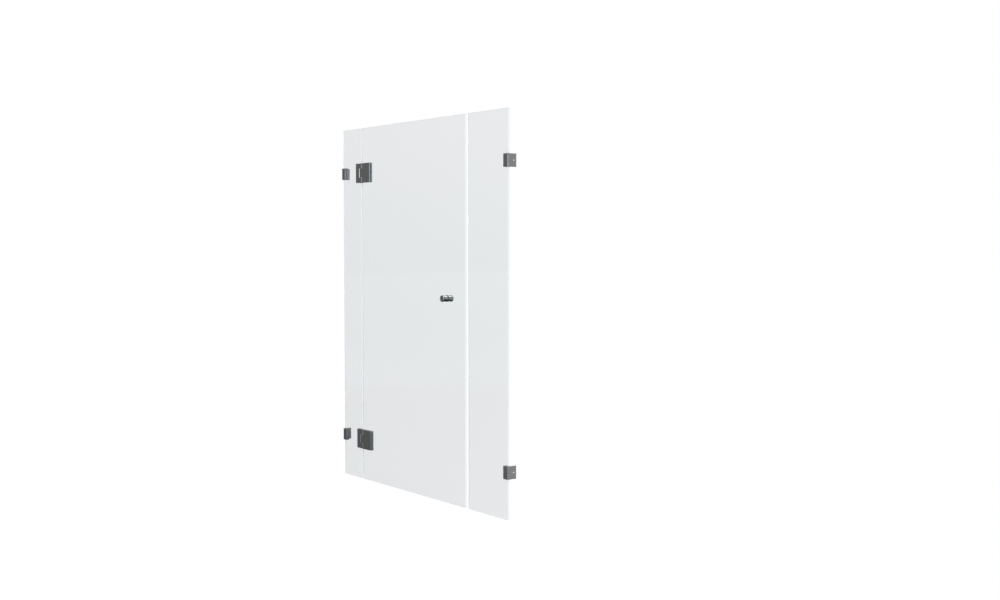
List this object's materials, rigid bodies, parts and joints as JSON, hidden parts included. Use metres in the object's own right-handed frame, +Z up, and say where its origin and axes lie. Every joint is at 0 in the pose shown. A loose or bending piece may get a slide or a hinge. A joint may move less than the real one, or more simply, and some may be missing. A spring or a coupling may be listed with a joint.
{
  "type": "hinged shower door with inline panel",
  "caption": "Frameless clear glass shower door hinged on a narrow fixed pane, with a fixed inline pane beyond it, glass-to-glass hinges, wall clamps and back-to-back knobs.",
  "frame": {"origin": "bottom centre of the whole part: middle of the width between the two wall faces, middle of the depth from the outer knob's face to the inner ends of the wall plates, level with the bottom edges of the glass", "axes": "+X along the glass to the right as seen from outside the shower, +Y into the shower, +Z up"},
  "size_m": [1.49, 0.0734, 1.9],
  "materials": {
    "clear_glass": "clear toughened glass with a faint green tint",
    "satin_metal": "satin, dark nickel",
    "polished_metal": "polished",
    "screw_steel": "satin stainless steel",
    "clear_gasket": "clear soft plastic",
    "nylon": "natural nylon"
  },
  "bodies": {
    "fixed_side": {"left_pane": "clear_glass", "right_pane": "clear_glass", "left_upper_clamp_body": "satin_metal", "left_upper_clamp_plate": "satin_metal", "left_upper_clamp_gaskets": "clear_gasket", "left_lower_clamp_body": "satin_metal", "left_lower_clamp_plate": "satin_metal", "left_lower_clamp_gaskets": "clear_gasket", "right_upper_clamp_body": "satin_metal", "right_upper_clamp_plate": "satin_metal", "right_upper_clamp_gaskets": "clear_gasket", "right_lower_clamp_body": "satin_metal", "right_lower_clamp_plate": "satin_metal", "right_lower_clamp_gaskets": "clear_gasket", "left_clamp_screws": "screw_steel", "left_clamp_sleeves": "nylon", "right_clamp_screws": "screw_steel", "right_clamp_sleeves": "nylon", "upper_fixed_leaf": "satin_metal", "upper_fixed_cover": "satin_metal", "upper_fixed_gaskets": "clear_gasket", "upper_fixed_screws": "screw_steel", "upper_fixed_sleeves": "nylon", "upper_hinge_pin": "screw_steel", "upper_pin_grub_screws": "screw_steel", "lower_fixed_leaf": "satin_metal", "lower_fixed_cover": "satin_metal", "lower_fixed_gaskets": "clear_gasket", "lower_fixed_screws": "screw_steel", "lower_fixed_sleeves": "nylon", "lower_hinge_pin": "screw_steel", "lower_pin_grub_screws": "screw_steel"},
    "door": {"door_pane": "clear_glass", "upper_door_leaf": "satin_metal", "upper_door_cover": "satin_metal", "upper_door_gaskets": "clear_gasket", "upper_door_screws": "screw_steel", "upper_door_sleeves": "nylon", "upper_bushes": "nylon", "upper_detent_plunger": "screw_steel", "upper_detent_spring": "screw_steel", "upper_detent_screw": "screw_steel", "lower_door_leaf": "satin_metal", "lower_door_cover": "satin_metal", "lower_door_gaskets": "clear_gasket", "lower_door_screws": "screw_steel", "lower_door_sleeves": "nylon", "lower_bushes": "nylon", "lower_detent_plunger": "screw_steel", "lower_detent_spring": "screw_steel", "lower_detent_screw": "screw_steel", "outer_knob": "polished_metal", "inner_knob": "polished_metal", "knob_stud": "screw_steel", "knob_sleeve": "nylon", "knob_washers": "clear_gasket", "knob_grub_screw": "screw_steel"}
  },
  "joints": [
    {"name": "door_hinge", "type": "hinge", "parent": "fixed_side", "child": "door", "pos_m": [-0.5475, -0.00375, 0], "axis": [0, 0, 1], "range_deg": [-90, 90]}
  ]
}
